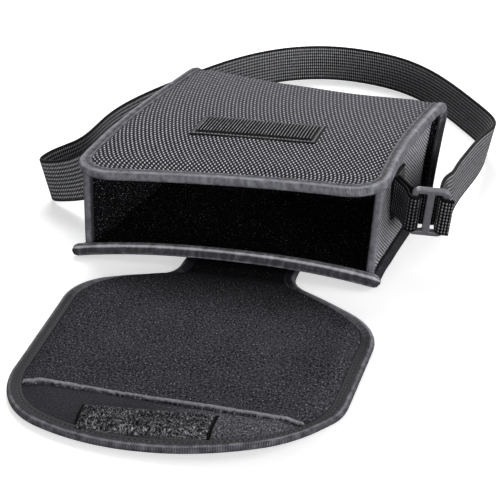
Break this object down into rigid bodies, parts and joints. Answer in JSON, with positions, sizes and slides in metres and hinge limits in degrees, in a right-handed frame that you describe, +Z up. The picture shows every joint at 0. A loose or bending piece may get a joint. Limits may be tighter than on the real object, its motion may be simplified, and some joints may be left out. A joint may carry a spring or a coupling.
{
  "type": "binocular case",
  "caption": "Padded soft case for binoculars, lying open on its back: woven shell with bound seams, fold-over flap with hook and loop closure, shoulder strap with ladder buckle.",
  "frame": {"origin": "middle of the flat part of the back panel, on its outer face, which is the face that the case lies on", "axes": "+X to the right along the mouth as seen from in front of it, +Y from the mouth into the case towards its closed end, +Z up from the back panel to the front panel"},
  "size_m": [0.239, 0.4801, 0.0622],
  "materials": {
    "woven_shell": "coarse woven nylon, black",
    "gusset_cloth": "fine woven nylon, dark grey",
    "foam": "closed-cell foam sheet",
    "fleece": "short fleece, black",
    "binding_tape": "folded grosgrain tape, grey",
    "hook_tape": "moulded nylon hooks on tape, glossy black",
    "loop_tape": "napped nylon loops, black",
    "webbing": "ribbed nylon webbing, black",
    "buckle_plastic": "moulded acetal, satin"
  },
  "bodies": {
    "case": {"body_shell": "woven_shell", "front_foam": "foam", "end_foam": "foam", "back_foam": "foam", "body_lining": "fleece", "gusset_shell_left": "gusset_cloth", "gusset_foam_left": "foam", "gusset_lining_left": "fleece", "gusset_binding_left": "binding_tape", "gusset_shell_right": "gusset_cloth", "gusset_foam_right": "foam", "gusset_lining_right": "fleece", "gusset_binding_right": "binding_tape", "mouth_binding": "binding_tape", "seam_binding_left": "binding_tape", "seam_binding_right": "binding_tape", "lip_binding": "binding_tape", "hook_patch": "hook_tape", "flap_root": "woven_shell", "strap_end_left": "webbing", "strap_tab_root": "webbing"},
    "flap_cover": {"flap_neck": "woven_shell", "flap_cover_shell": "woven_shell", "flap_cover_foam": "foam", "flap_cover_lining": "fleece", "flap_cover_fleece": "fleece", "flap_cover_binding_left": "binding_tape", "flap_cover_binding_right": "binding_tape"},
    "flap_tongue": {"flap_tongue_shell": "woven_shell", "flap_tongue_foam": "foam", "flap_tongue_lining": "fleece", "flap_tongue_fleece": "fleece", "flap_tongue_binding": "binding_tape", "loop_patch": "loop_tape"},
    "strap": {"strap_webbing": "webbing", "tri_glide": "buckle_plastic", "strap_tab": "webbing"}
  },
  "joints": [
    {"name": "flap_hinge", "type": "hinge", "parent": "case", "child": "flap_cover", "pos_m": [0.005, -0.07, 0.0011], "axis": [-0.9996, -0.0297, 0], "range_deg": [-90, 61.5]},
    {"name": "flap_fold", "type": "hinge", "parent": "flap_cover", "child": "flap_tongue", "pos_m": [0.0082, -0.12391, 0.006], "axis": [-0.9996, -0.0297, 0], "range_deg": [0, 112]},
    {"name": "strap_swing", "type": "hinge", "parent": "case", "child": "strap", "pos_m": [0, -0.029, 0.0318], "axis": [1, 0, 0], "range_deg": [-90, 180]}
  ]
}
